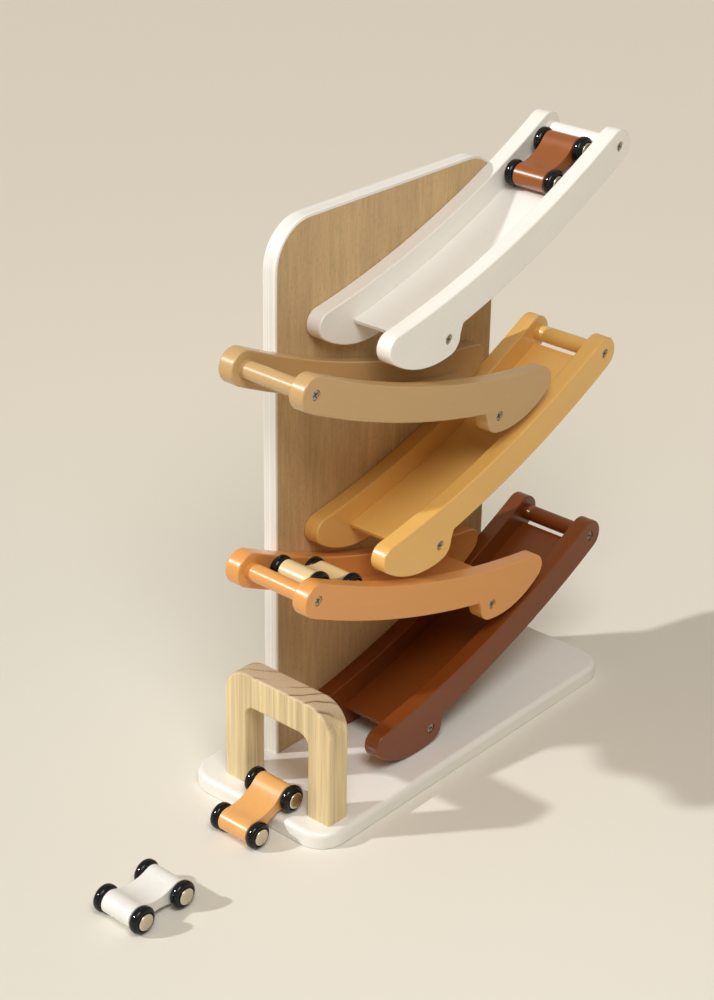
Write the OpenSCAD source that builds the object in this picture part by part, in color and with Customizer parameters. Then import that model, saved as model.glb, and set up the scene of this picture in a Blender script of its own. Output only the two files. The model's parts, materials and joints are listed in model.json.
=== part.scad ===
// Click clack track: five curved ramps in zigzag on an upright panel, an arch and four cars.
// Millimetres. The origin is the middle of the base board's underside, +Z is up, and the
// ramps run along X. A ramp's own frame has its origin at the lower screw, and its X axis
// rises with the ramp's tilt.

/* [Base board] */
// Length of the base board, along X
base_l = 316; // [310:1:400]
// Depth of the base board, along Y
base_d = 128; // [120:1:180]
// Thickness of the base board
base_t = 12; // [10:0.5:16]
// Radius of the base board's corners, seen from above
base_r = 20; // [8:1:40]

/* [Back panel] */
// Width of the upright panel
panel_w = 223; // [210:1:280]
// Height of the upright panel above the base board
panel_h = 386; // [375:1:430]
// Thickness of the upright panel
panel_t = 12; // [9:0.5:18]
// Radius of the panel's two top corners
panel_r = 32; // [8:1:60]
// Strip of base board behind the panel
panel_back = 23; // [8:1:24]
// Distance from the arch's back face to the panel's edge
panel_x = 21.5; // [14:0.5:30]

/* [Finish arch] */
// Width of the arch, along Y
arch_w = 95; // [88:1:110]
// Height of the arch
arch_h = 87; // [80:1:110]
// Thickness of the arch, along X
arch_t = 18.5; // [14:0.5:24]
// Width of each leg of the arch
arch_leg = 19.5; // [14:0.5:20]
// Height of the arch's opening
arch_open_h = 62; // [50:1:68]
// Radius of the arch's outer top corners
arch_r = 20; // [6:1:24]
// Radius of the opening's top corners
arch_open_r = 8; // [2:0.5:14]
// Strip of base board in front of the arch
arch_inset = 14.5; // [12:0.5:20]
// Place of the arch's middle across the base board
arch_y = -8; // [-10:0.5:-4]

/* [Ramps] */
// Height of the lowest ramp's lower screw above the base board
ramp_first_h = 13.5; // [13.5:0.5:20]
// Height from one ramp to the next
ramp_pitch = 73; // [68:0.5:76]
// Distance of the mustard ramp below its even place
mustard_drop = 2.5; // [0:0.5:4]
// Distance of the white ramp's lower screw from the panel's centre line
white_reach = 25.5; // [22:0.5:34]
// Distance of the taupe ramp's lower screw from the panel's centre line
taupe_reach = 32; // [26:0.5:36]
// Distance of the mustard ramp's lower screw from the panel's centre line
mustard_reach = 27; // [22:0.5:34]
// Distance of the orange ramp's lower screw from the panel's centre line
orange_reach = 34; // [26:0.5:36]
// Distance of the brown ramp's lower screw from the panel's centre line
brown_reach = 30; // [22:0.5:34]
// Tilt of the white ramp in degrees
white_tilt = 26; // [23:0.25:27]
// Tilt of the taupe ramp in degrees
taupe_tilt = 22.25; // [21:0.25:25]
// Tilt of the mustard ramp in degrees
mustard_tilt = 25; // [23:0.25:26]
// Tilt of the orange ramp in degrees
orange_tilt = 23.25; // [21:0.25:25]
// Tilt of the brown ramp in degrees
brown_tilt = 24.5; // [23:0.25:26]
// Width of the channel between the two rails
gap_w = 47; // [45:0.5:54]

/* [Rails] */
// Thickness of a rail
rail_t = 12; // [8:0.5:14]
// Height of a rail across its bend
rail_h = 24; // [22:0.5:28]
// Distance from the lower screw to the upper screw, along the ramp
rail_span = 198; // [190:1:206]
// Radius of the rail's bend, at the middle of its height
bend_r = 725; // [650:5:900]
// Distance from the lower screw to the lowest place of the bend
bend_at = 155; // [150:1:162]
// Height of the bend's middle line over the lower screw
bend_lift = 15.5; // [14.5:0.5:18]
// Reach of the rounded nose past the lower screw
nose_out = 50; // [46:1:54]
// Radius of the nose
nose_r = 10; // [7:0.5:12]
// Radius of the heel round the lower screw
heel_r = 12; // [10.5:0.5:12]
// Radius of the curve under the chin, from nose to heel
chin_r = 70; // [60:1:75]
// Distance of the notch behind the heel from the lower screw
notch_out = 16; // [14:0.5:20]

/* [Ramp floors and dowels] */
// Thickness of a ramp floor
floor_t = 3; // [2.5:0.5:4]
// Height of the floor's upper face over the rail's lower edge
floor_lift = 7.5; // [5.5:0.5:9]
// Length of the floor past the lower screw
floor_out = 20.5; // [14:0.5:24]
// Slit between the floor's upper end and the top dowel
floor_slit = 0.5; // [0.5:0.5:6]
// Depth of the grooves that hold the floor's edges
groove_depth = 3; // [2:0.5:4]
// Diameter of the top dowel
top_dowel_d = 12; // [8:0.5:14]
// Diameter of the lower dowel under the floor
lower_dowel_d = 8; // [6:0.5:8]

/* [Screws] */
// Diameter of a screw head
screw_head_d = 7; // [6:0.25:8]
// Height of a screw head
screw_head_h = 2.4; // [1.6:0.2:3]
// Diameter of a screw shank
screw_d = 3.5; // [2.5:0.25:4]
// Length of a screw that holds a rail to a dowel
rail_screw_l = 26; // [20:1:30]
// Length of a screw through panel and rail into the lower dowel
long_screw_l = 38; // [34:1:42]
// Length of a screw through the panel into a rail
short_screw_l = 18; // [16:0.5:18]
// Length of a screw up through the base board
base_screw_l = 30; // [24:1:40]
// Distance of the short panel screws from the lower screws, along the ramps
short_screw_at = 118; // [90:1:120]

/* [Cars] */
// Distance between a car's two axles
wheelbase = 35; // [32:0.5:38]
// Width of a car's body
car_w = 25.4; // [22:0.2:26]
// Radius of the body's round ends
car_end_r = 8; // [7:0.25:8.5]
// Height of the body at its waist
car_waist = 8; // [6:0.25:8]
// Diameter of a wheel
wheel_d = 19; // [18:0.5:21]
// Width of a wheel
wheel_w = 6.5; // [5:0.5:7]
// Radius of a wheel's rounded edges
wheel_edge_r = 2; // [0.5:0.25:2.5]
// Diameter of the sunk hub face of a wheel
hub_d = 14.2; // [13:0.2:14.6]
// Depth of the sunk hub face
hub_sink = 0.7; // [0.3:0.1:1.2]
// Diameter of an axle
axle_d = 3.5; // [2.5:0.25:4]
// Diameter of a hub cap
cap_d = 11.5; // [9:0.5:12]
// Thickness of a hub cap
cap_t = 1.8; // [1.4:0.1:2.4]
// Radius of a hub cap's rounded edge
cap_edge_r = 0.7; // [0.2:0.1:1]
// Gap between the brown car's rear wheels and the white ramp's top dowel
brown_car_at = 0.5; // [0.5:0.5:40]
// Gap between the beige car's rear wheels and the orange ramp's top dowel
beige_car_at = 5; // [0.5:0.5:40]
// Distance of the orange car's middle from the arch's front face
orange_car_out = 19; // [16.5:0.5:20]
// Distance of the white car's middle from the base board's end
white_car_out = 115.5; // [90:0.5:160]
// Place of the white car's middle across the base board
white_car_y = -16.5; // [-40:0.5:40]

/* [Clearances] */
// Gap round the floors in their grooves, and round the screws
fit_gap = 0.1; // [0.05:0.05:0.2]
// Radial gap of an axle in the car's body
axle_gap = 0.06; // [0.02:0.01:0.1]
// Radial gap of an axle in its wheels and caps
press_gap = 0.02; // [0.01:0.01:0.05]
// Gap between the wheels and what they roll on
roll_gap = 0.3; // [0.2:0.05:0.5]
// Gap between a wheel and the car's body
wheel_gap = 0.4; // [0.3:0.1:1]

/* [Hidden] */
// Smoothness of turned shapes
$fn = 64;
// Overrun of a cut past the face that it opens
cut_over = 1;
// Depth of a screw head's face below the surface
head_sink = 0.8;
// Cone at a screw's tip
screw_tip = 3;
// Chamfer round a screw head
head_chamfer = 0.4;
// Cross recess in a screw head: arm length, arm width and depth
cross_l = 4.4;
cross_w = 0.9;
cross_depth = 1.3;
// Spare depth of a hole past the screw's tip
tip_gap = 0.6;
// Length of an axle's end inside its cap
cap_grip = 0.9;
// Spread of the panel's base screws, as a share of the panel's half width
base_screw_share = 0.7;
// Segments of a long arc and of a short arc in an outline
long_steps = 32;
short_steps = 14;

ramp_names = ["white", "taupe", "mustard", "orange", "brown"];
ramp_parts = ["front_rail", "rear_rail", "floor", "top_dowel", "lower_dowel"];
car_names = ["brown_car", "beige_car", "orange_car", "white_car"];
car_parts = ["body", "front_axle", "rear_axle", "front_wheels", "rear_wheels", "front_caps", "rear_caps"];
ramp_ids = [0:len(ramp_names) - 1];
car_ids = [0:len(car_names) - 1];
ramp_colours = ["#F3F1EA", "#B08F62", "#D9AE62", "#DE9F5E", "#6B3A1C"];
car_colours = ["#A5602F", "#D5BE92", "#E8AC65", "#F1EFEA"];
ramp_reach = [white_reach, taupe_reach, mustard_reach, orange_reach, brown_reach];
ramp_tilt = [white_tilt, taupe_tilt, mustard_tilt, orange_tilt, brown_tilt];
ramp_drop = [0, 0, mustard_drop, 0, 0];

// Faces across the base board
panel_front = base_d / 2 - panel_back - panel_t;
panel_rear = panel_front + panel_t;
rear_inner = panel_front - rail_t;
front_inner = rear_inner - gap_w;
front_outer = front_inner - rail_t;
channel_y = (rear_inner + front_inner) / 2;
arch_front = -base_l / 2 + arch_inset;
panel_mid = arch_front + arch_t + panel_x + panel_w / 2;

// The rail's bend, in the ramp's frame
belly_r = bend_r + rail_h / 2;
crown_r = bend_r - rail_h / 2;
bend_c = [bend_at, bend_lift + sqrt(pow(bend_r, 2) - pow(bend_at, 2))];
floor_top_r = belly_r - floor_lift;
floor_end = rail_span - top_dowel_d / 2 - floor_slit;
top_angle = bend_angle(bend_r, rail_span);
top_c = on_circle(bend_c, bend_r, top_angle);

// Nose, chin and heel: the chin's arc touches the nose's and the heel's circles from outside
nose_run = crown_r + nose_r;
nose_angle = bend_angle(nose_run, nose_r - nose_out);
nose_c = on_circle(bend_c, nose_run, nose_angle);
nose_dir = -nose_c / norm(nose_c);
chin_to_nose = chin_r - nose_r;
chin_to_heel = chin_r - heel_r;
chin_along = (pow(chin_to_nose, 2) - pow(chin_to_heel, 2) + pow(norm(nose_c), 2)) / (2 * norm(nose_c));
chin_off = sqrt(pow(chin_to_nose, 2) - pow(chin_along, 2));
chin_c = nose_c + chin_along * nose_dir + chin_off * [-nose_dir.y, nose_dir.x];
heel_end_angle = 335;

// Cars
wheel_r = wheel_d / 2;
axle_run_r = floor_top_r - wheel_r - roll_gap;
car_run_r = sqrt(pow(axle_run_r, 2) - pow(wheelbase / 2, 2));
orange_pitch = -asin((base_t + roll_gap) / wheelbase);
dowel_to_car = top_dowel_d / 2 + wheel_r + wheelbase / 2;
waist_r = (pow(wheelbase, 2) / 4 + pow(car_waist, 2) / 4 - pow(car_end_r, 2)) / (2 * car_end_r - car_waist);
waist_h = waist_r + car_waist / 2;
waist_angle = atan2(waist_h, wheelbase / 2);
wheel_in = car_w / 2 + wheel_gap;
cap_in = wheel_in + wheel_w - hub_sink;

NODES = concat(
    ["base_board", "back_panel", "finish_arch"],
    [for (n = ramp_names) for (p = ramp_parts) str(n, "_", p)],
    ["rail_screws", "long_panel_screws", "short_panel_screws", "base_screws"],
    [for (n = car_names) for (p = car_parts) str(n, "_", p)]
);
node = "all";

// Points and outlines

function on_circle(c, r, a) = c + r * [cos(a), sin(a)];

// An arc's points without its last one, so that arcs join without doubled points
function arc(c, r, a0, a1, steps) =
    [for (i = [0:steps - 1]) on_circle(c, r, a0 + (a1 - a0) * i / steps)];

function angle_of(v) = let (a = atan2(v.y, v.x)) a < 0 ? a + 360 : a;

// Angle, round the bend's centre, of the place at distance u along the ramp
function bend_angle(r, u) = asin((u - bend_at) / r) - 90;

function rail_outline() = concat(
    arc(bend_c, belly_r, bend_angle(belly_r, notch_out), top_angle, long_steps),
    arc(top_c, rail_h / 2, top_angle, top_angle + 180, short_steps),
    arc(bend_c, crown_r, top_angle, nose_angle, long_steps),
    arc(nose_c, nose_r, angle_of(bend_c - nose_c), angle_of(nose_c - chin_c), short_steps),
    arc(chin_c, chin_r, angle_of(nose_c - chin_c), angle_of(-chin_c), short_steps),
    arc([0, 0], heel_r, angle_of(-chin_c), heel_end_angle, short_steps),
    [on_circle([0, 0], heel_r, heel_end_angle)]
);

// A strip along the bend that holds the floor, grown by a gap on all sides
function floor_outline(gap) =
    let (
        inner = floor_top_r - gap,
        outer = floor_top_r + floor_t + gap,
        low = bend_angle(floor_top_r, -floor_out - gap),
        high = bend_angle(floor_top_r, floor_end + gap)
    )
    concat(
        arc(bend_c, outer, low, high, long_steps),
        [on_circle(bend_c, outer, high)],
        arc(bend_c, inner, high, low, long_steps),
        [on_circle(bend_c, inner, low)]
    );

// An upright outline on its foot line with two round top corners
function round_top(w, h, r) = concat(
    [[-w / 2, 0], [w / 2, 0]],
    arc([w / 2 - r, h - r], r, 0, 90, short_steps),
    [[w / 2 - r, h]],
    arc([r - w / 2, h - r], r, 90, 180, short_steps),
    [[-w / 2, h - r]]
);

function round_plate(l, d, r) = concat(
    arc([l / 2 - r, d / 2 - r], r, 0, 90, short_steps),
    [[l / 2 - r, d / 2]],
    arc([r - l / 2, d / 2 - r], r, 90, 180, short_steps),
    [[-l / 2, d / 2 - r]],
    arc([r - l / 2, r - d / 2], r, 180, 270, short_steps),
    [[r - l / 2, -d / 2]],
    arc([l / 2 - r, r - d / 2], r, 270, 360, short_steps),
    [[l / 2, r - d / 2]]
);

// The dog-bone side view of a car's body: two round ends joined by hollow curves
function car_outline() = concat(
    arc([wheelbase / 2, 0], car_end_r, waist_angle - 180, 180 - waist_angle, short_steps),
    arc([0, waist_h], waist_r, -waist_angle, waist_angle - 180, short_steps),
    arc([-wheelbase / 2, 0], car_end_r, waist_angle, 360 - waist_angle, short_steps),
    arc([0, -waist_h], waist_r, 180 - waist_angle, waist_angle, short_steps)
);

function wheel_outline() = concat(
    [[axle_d / 2 + press_gap, 0]],
    arc([wheel_r - wheel_edge_r, wheel_edge_r], wheel_edge_r, -90, 0, short_steps),
    arc([wheel_r - wheel_edge_r, wheel_w - wheel_edge_r], wheel_edge_r, 0, 90, short_steps),
    [
        [wheel_r - wheel_edge_r, wheel_w],
        [hub_d / 2, wheel_w],
        [hub_d / 2, wheel_w - hub_sink],
        [axle_d / 2 + press_gap, wheel_w - hub_sink]
    ]
);

function cap_outline() = concat(
    [
        [axle_d / 2 + press_gap, 0],
        [cap_d / 2, 0]
    ],
    arc([cap_d / 2 - cap_edge_r, cap_t - cap_edge_r], cap_edge_r, 0, 90, short_steps),
    [
        [cap_d / 2 - cap_edge_r, cap_t],
        [0, cap_t],
        [0, cap_grip + press_gap],
        [axle_d / 2 + press_gap, cap_grip + press_gap]
    ]
);

// Places of the pieces

function ramp_x(i) = panel_mid + (i % 2 == 0 ? -ramp_reach[i] : ramp_reach[i]);
function ramp_z(i) = base_t + ramp_first_h + (len(ramp_names) - 1 - i) * ramp_pitch - ramp_drop[i];

module in_ramp(i) {
    translate([ramp_x(i), 0, ramp_z(i)])
        mirror([i % 2, 0, 0])
            rotate([0, -ramp_tilt[i], 0])
                children();
}

// A car's frame: the middle between its axles, X along its body
module on_ramp(i, along) {
    turn = asin((along - bend_at) / car_run_r);
    spot = on_circle(bend_c, car_run_r, turn - 90);
    in_ramp(i)
        translate([spot.x, channel_y, spot.y])
            rotate([0, -turn, 0])
                children();
}

module in_car(k) {
    if (k == 0) on_ramp(0, rail_span - dowel_to_car - brown_car_at) children();
    if (k == 1) on_ramp(3, rail_span - dowel_to_car - beige_car_at) children();
    if (k == 2)
        translate([arch_front - orange_car_out, arch_y, wheel_r + (base_t + roll_gap) / 2])
            rotate([0, orange_pitch, 0])
                children();
    if (k == 3)
        translate([-base_l / 2 - white_car_out, white_car_y, wheel_r])
            children();
}

// Turns a shape that stands along Z so that it runs along Y
module along_y() {
    rotate([-90, 0, 0]) children();
}

// Places a screw or its hole in a face that looks to -Y or to +Y
module from_front(y) {
    translate([0, y, 0]) along_y() children();
}

module from_back(y) {
    translate([0, y, 0]) mirror([0, 1, 0]) along_y() children();
}

// The places of the screws in a ramp's frame
module at_lower() {
    children();
}

module at_upper() {
    translate([top_c.x, 0, top_c.y]) children();
}

module at_short_screw() {
    spot = on_circle(bend_c, bend_r, bend_angle(bend_r, short_screw_at));
    translate([spot.x, 0, spot.y]) children();
}

// Base screws stand under the panel's foot and under the arch's legs
module at_base_screws() {
    for (s = [-1, 0, 1])
        translate([panel_mid + s * base_screw_share * panel_w / 2, (panel_front + panel_rear) / 2, 0])
            children();
    for (s = [-1, 1])
        translate([arch_front + arch_t / 2, arch_y + s * (arch_w - arch_leg) / 2, 0])
            children();
}

// Screws and their holes, head down on Z = 0

module screw(l) {
    difference() {
        translate([0, 0, head_sink]) {
            cylinder(h = head_chamfer, r1 = screw_head_d / 2 - head_chamfer, r2 = screw_head_d / 2);
            translate([0, 0, head_chamfer])
                cylinder(h = screw_head_h - head_chamfer, d = screw_head_d);
            cylinder(h = l - screw_tip, d = screw_d);
            translate([0, 0, l - screw_tip])
                cylinder(h = screw_tip, r1 = screw_d / 2, r2 = head_chamfer);
        }
        translate([0, 0, head_sink + cross_depth / 2])
            for (a = [0, 90])
                rotate([0, 0, a + 45])
                    cube([cross_l, cross_w, cross_depth + head_sink], center = true);
    }
}

module screw_hole(l) {
    translate([0, 0, -cut_over])
        cylinder(h = cut_over + head_sink + screw_head_h + fit_gap, d = screw_head_d + 2 * fit_gap);
    translate([0, 0, head_sink])
        cylinder(h = l + tip_gap, d = screw_d + 2 * fit_gap);
}

// Base board, panel and arch

module base_board() {
    color("#F3F1EA")
        difference() {
            linear_extrude(base_t) polygon(round_plate(base_l, base_d, base_r));
            at_base_screws() screw_hole(base_screw_l);
        }
}

module back_panel() {
    color("#B8966A")
        difference() {
            translate([panel_mid, panel_rear, base_t])
                rotate([90, 0, 0])
                    linear_extrude(panel_t) polygon(round_top(panel_w, panel_h, panel_r));
            at_base_screws() screw_hole(base_screw_l);
            for (i = ramp_ids)
                in_ramp(i) {
                    at_lower() from_back(panel_rear) screw_hole(long_screw_l);
                    at_short_screw() from_back(panel_rear) screw_hole(short_screw_l);
                }
        }
}

module finish_arch() {
    color("#DCC492")
        difference() {
            translate([arch_front, arch_y, base_t])
                rotate([90, 0, 90])
                    linear_extrude(arch_t)
                        difference() {
                            polygon(round_top(arch_w, arch_h, arch_r));
                            translate([0, -cut_over])
                                polygon(round_top(
                                    arch_w - 2 * arch_leg, arch_open_h + cut_over, arch_open_r));
                        }
            at_base_screws() screw_hole(base_screw_l);
        }
}

// Ramps

// A rail without its holes, with its back face at y
module rail_blank(y) {
    translate([0, y, 0])
        rotate([90, 0, 0])
            linear_extrude(rail_t) polygon(rail_outline());
}

// The space of a floor, from y back to y - w
module floor_strip(y, w, gap) {
    translate([0, y, 0])
        rotate([90, 0, 0])
            linear_extrude(w) polygon(floor_outline(gap));
}

module front_rail(i) {
    color(ramp_colours[i])
        in_ramp(i)
            difference() {
                rail_blank(front_inner);
                floor_strip(front_inner + cut_over, groove_depth + cut_over, fit_gap);
                at_lower() from_front(front_outer) screw_hole(rail_screw_l);
                at_upper() from_front(front_outer) screw_hole(rail_screw_l);
            }
}

module rear_rail(i) {
    color(ramp_colours[i])
        in_ramp(i)
            difference() {
                rail_blank(panel_front);
                floor_strip(rear_inner + groove_depth, groove_depth + cut_over, fit_gap);
                at_lower() from_back(panel_rear) screw_hole(long_screw_l);
                at_short_screw() from_back(panel_rear) screw_hole(short_screw_l);
                at_upper() from_back(panel_front) screw_hole(rail_screw_l);
            }
}

module ramp_floor(i) {
    color(ramp_colours[i])
        in_ramp(i)
            floor_strip(rear_inner + groove_depth - fit_gap, gap_w + 2 * (groove_depth - fit_gap), 0);
}

module dowel(d) {
    translate([0, front_inner, 0]) along_y() cylinder(h = gap_w, d = d);
}

module top_dowel(i) {
    color(ramp_colours[i])
        in_ramp(i)
            at_upper()
                difference() {
                    dowel(top_dowel_d);
                    from_front(front_outer) screw_hole(rail_screw_l);
                    from_back(panel_front) screw_hole(rail_screw_l);
                }
}

module lower_dowel(i) {
    color(ramp_colours[i])
        in_ramp(i)
            at_lower()
                difference() {
                    dowel(lower_dowel_d);
                    from_front(front_outer) screw_hole(rail_screw_l);
                    from_back(panel_rear) screw_hole(long_screw_l);
                }
}

// Screw groups

module rail_screws() {
    color("silver")
        for (i = ramp_ids)
            in_ramp(i) {
                at_lower() from_front(front_outer) screw(rail_screw_l);
                at_upper() from_front(front_outer) screw(rail_screw_l);
                at_upper() from_back(panel_front) screw(rail_screw_l);
            }
}

module long_panel_screws() {
    color("silver")
        for (i = ramp_ids)
            in_ramp(i) at_lower() from_back(panel_rear) screw(long_screw_l);
}

module short_panel_screws() {
    color("silver")
        for (i = ramp_ids)
            in_ramp(i) at_short_screw() from_back(panel_rear) screw(short_screw_l);
}

module base_screws() {
    color("silver") at_base_screws() screw(base_screw_l);
}

// Cars: end is -1 for the front axle, which leads to -X, and 1 for the rear axle

module at_axle(end) {
    translate([end * wheelbase / 2, 0, 0]) children();
}

module on_both_sides() {
    along_y() children();
    mirror([0, 1, 0]) along_y() children();
}

module car_body(k) {
    color(car_colours[k])
        in_car(k)
            difference() {
                rotate([90, 0, 0])
                    linear_extrude(car_w, center = true) polygon(car_outline());
                for (end = [-1, 1])
                    at_axle(end)
                        along_y()
                            cylinder(h = car_w + cut_over, d = axle_d + 2 * axle_gap, center = true);
            }
}

module car_axle(k, end) {
    color("silver")
        in_car(k)
            at_axle(end)
                along_y() cylinder(h = 2 * (cap_in + cap_grip), d = axle_d, center = true);
}

module car_wheels(k, end) {
    color("#14161C")
        in_car(k)
            at_axle(end)
                on_both_sides()
                    translate([0, 0, wheel_in]) rotate_extrude() polygon(wheel_outline());
}

module car_caps(k, end) {
    color("#CDBF9F")
        in_car(k)
            at_axle(end)
                on_both_sides()
                    translate([0, 0, cap_in]) rotate_extrude() polygon(cap_outline());
}

function shown(name) = node == "all" || node == name;
function ramp_shown(i, part) = shown(str(ramp_names[i], "_", part));
function car_shown(k, part) = shown(str(car_names[k], "_", part));

if (shown("base_board")) base_board();
if (shown("back_panel")) back_panel();
if (shown("finish_arch")) finish_arch();
for (i = ramp_ids) if (ramp_shown(i, "front_rail")) front_rail(i);
for (i = ramp_ids) if (ramp_shown(i, "rear_rail")) rear_rail(i);
for (i = ramp_ids) if (ramp_shown(i, "floor")) ramp_floor(i);
for (i = ramp_ids) if (ramp_shown(i, "top_dowel")) top_dowel(i);
for (i = ramp_ids) if (ramp_shown(i, "lower_dowel")) lower_dowel(i);
if (shown("rail_screws")) rail_screws();
if (shown("long_panel_screws")) long_panel_screws();
if (shown("short_panel_screws")) short_panel_screws();
if (shown("base_screws")) base_screws();
for (k = car_ids) if (car_shown(k, "body")) car_body(k);
for (k = car_ids) if (car_shown(k, "front_axle")) car_axle(k, -1);
for (k = car_ids) if (car_shown(k, "rear_axle")) car_axle(k, 1);
for (k = car_ids) if (car_shown(k, "front_wheels")) car_wheels(k, -1);
for (k = car_ids) if (car_shown(k, "rear_wheels")) car_wheels(k, 1);
for (k = car_ids) if (car_shown(k, "front_caps")) car_caps(k, -1);
for (k = car_ids) if (car_shown(k, "rear_caps")) car_caps(k, 1);
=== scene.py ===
"""Looks of a wooden click clack track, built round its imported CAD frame.

A piece is a merged copy of its CAD node with rounded edges, or is modelled anew in the node's place,
and it rides on the body of the node that it stands for. Metres, in the frame of the CAD model.
"""

import json
from math import atan2, cos, pi, radians, sin

import bmesh
import bpy
from bpy.props import FloatProperty, FloatVectorProperty, PointerProperty
from mathutils import Matrix, Vector

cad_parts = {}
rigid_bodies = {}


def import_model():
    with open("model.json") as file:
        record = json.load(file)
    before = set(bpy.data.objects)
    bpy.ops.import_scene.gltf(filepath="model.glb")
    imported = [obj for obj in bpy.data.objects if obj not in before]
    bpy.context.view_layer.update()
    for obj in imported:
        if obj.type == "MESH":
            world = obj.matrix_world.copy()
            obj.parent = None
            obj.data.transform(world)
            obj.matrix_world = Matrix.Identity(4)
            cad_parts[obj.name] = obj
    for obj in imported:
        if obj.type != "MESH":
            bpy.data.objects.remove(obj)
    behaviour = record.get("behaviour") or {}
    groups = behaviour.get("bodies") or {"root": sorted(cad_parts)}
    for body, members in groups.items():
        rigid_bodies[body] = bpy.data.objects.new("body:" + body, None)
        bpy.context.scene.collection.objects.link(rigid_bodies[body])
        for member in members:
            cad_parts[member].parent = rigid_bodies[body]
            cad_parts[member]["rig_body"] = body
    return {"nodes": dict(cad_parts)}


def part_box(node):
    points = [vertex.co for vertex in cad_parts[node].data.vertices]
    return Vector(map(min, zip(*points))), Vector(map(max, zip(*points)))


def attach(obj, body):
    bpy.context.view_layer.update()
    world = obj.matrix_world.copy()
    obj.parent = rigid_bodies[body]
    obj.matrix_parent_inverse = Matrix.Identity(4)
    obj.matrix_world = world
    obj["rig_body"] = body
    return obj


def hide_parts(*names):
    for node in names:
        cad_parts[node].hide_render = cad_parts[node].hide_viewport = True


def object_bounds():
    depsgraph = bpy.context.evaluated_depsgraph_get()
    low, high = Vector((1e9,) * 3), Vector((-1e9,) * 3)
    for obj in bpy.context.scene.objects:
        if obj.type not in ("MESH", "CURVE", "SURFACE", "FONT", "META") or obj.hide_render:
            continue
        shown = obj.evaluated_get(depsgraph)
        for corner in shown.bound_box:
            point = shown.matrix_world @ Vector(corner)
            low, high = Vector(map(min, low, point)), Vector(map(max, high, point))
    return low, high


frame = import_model()
CAD_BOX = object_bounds()

bl_info = {
    "name": "Click clack track",
    "version": (1, 0, 0),
    "blender": (4, 5, 0),
    "location": "View3D > Sidebar > Track",
    "description": "Models and finishes the pieces of a wooden click clack track",
    "category": "Mesh",
}

RAMPS = ("white", "taupe", "mustard", "orange", "brown")
RAILS = ("front_rail", "rear_rail")
DOWELS = ("top_dowel", "lower_dowel")
CARS = ("brown_car", "beige_car", "orange_car", "white_car")
ENDS = ("front", "rear")
SCREWS = ("rail_screws", "long_panel_screws", "short_panel_screws", "base_screws")

MM = 0.001
X, Y, Z = range(3)
# Points closer than this are one point, and points this close to a face lie on it
TOUCH = 0.01 * MM
# A face whose normal has this share along an axis is flat across that axis
FLAT_SHARE = 0.999
# Faces that meet at a smaller angle are shaded as one round surface
SMOOTH_ANGLE = radians(34)
# Faces that meet at a smaller angle are one flat face
FLAT_ANGLE = radians(0.2)
# Flat steps in a rounded edge, and in the fuller rounding of a tyre
ROUND_STEPS = 4
TYRE_STEPS = 8
# Sides of a turned outline
TURNED_SIDES = 64
# Inset and depth of each step cut into a wheel and into a hub cap, in millimetres
HUB_STEPS = ((0.3, 0.7), (0.25, 0.01))
CAP_STEPS = ((0.5, 0.03), (0.25, 0.4), (1.2, 0.16), (1.2, 0.1))
# From the arch's middle to the middle of the tree that its board was cut from, in millimetres
PITH_OFF = (91, 79, 0)
# Distance between the growth rings of fast-grown pine and how far they sway, in millimetres
RING_GAP = 9
RING_SWAY = 11
# Scale at which the wave texture has one ring a unit
RING_SCALE = 0.314
# Coat of the palest paint
PAINT_SHEEN = 0.8
# Side of the paper floor, and the depths between which it takes its far tone, a painted light that lightens
# the back, in metres
PAPER_SIZE = 60
PAPER_PAINTED_LIGHT_DEPTHS = (0.05, 0.7)
# Width of the camera's sensor, in millimetres
SENSOR_WIDTH = 36


# Properties that a user would change


def linear(code):
    """The linear colour of an sRGB hex code."""
    shares = [int(code[i:i + 2], 16) / 255 for i in (1, 3, 5)]
    return tuple(s / 12.92 if s <= 0.04045 else ((s + 0.055) / 1.055) ** 2.4 for s in shares)


def colour(name, description, code):
    """A colour property whose default is an sRGB hex code."""
    return FloatVectorProperty(
        name=name, description=description, subtype="COLOR", size=3, min=0, max=1, default=linear(code)
    )


def length(name, description, millimetres):
    """A length property whose default is given in millimetres."""
    return FloatProperty(name=name, description=description, unit="LENGTH", min=0, default=millimetres * MM)


def angle(name, description, degrees):
    """An angle property whose default is given in degrees."""
    return FloatProperty(name=name, description=description, subtype="ANGLE", default=radians(degrees))


class TrackEdges(bpy.types.PropertyGroup):
    """Roundings of the pieces' edges"""

    rail: length("Rails", "Rounding along both sides of a rail", 1.1)
    base_top: length("Base board, top", "Rounding of the base board's upper edge", 4)
    base_foot: length("Base board, foot", "Rounding of the base board's lower edge", 1.2)
    panel: length("Panel", "Rounding of the panel's edges", 1.6)
    arch: length("Arch", "Rounding of the arch's edges", 1.8)
    car: length("Cars", "Rounding along both sides of a car's body", 0.7)
    floor: length("Floors", "Rounding of a ramp floor's two ends", 0.6)
    tyre: length("Wheels", "Rounding of a wheel's two edges", 2.7)
    cap: length("Hub caps", "Rounding of a hub cap's outer edge", 0.6)


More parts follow.
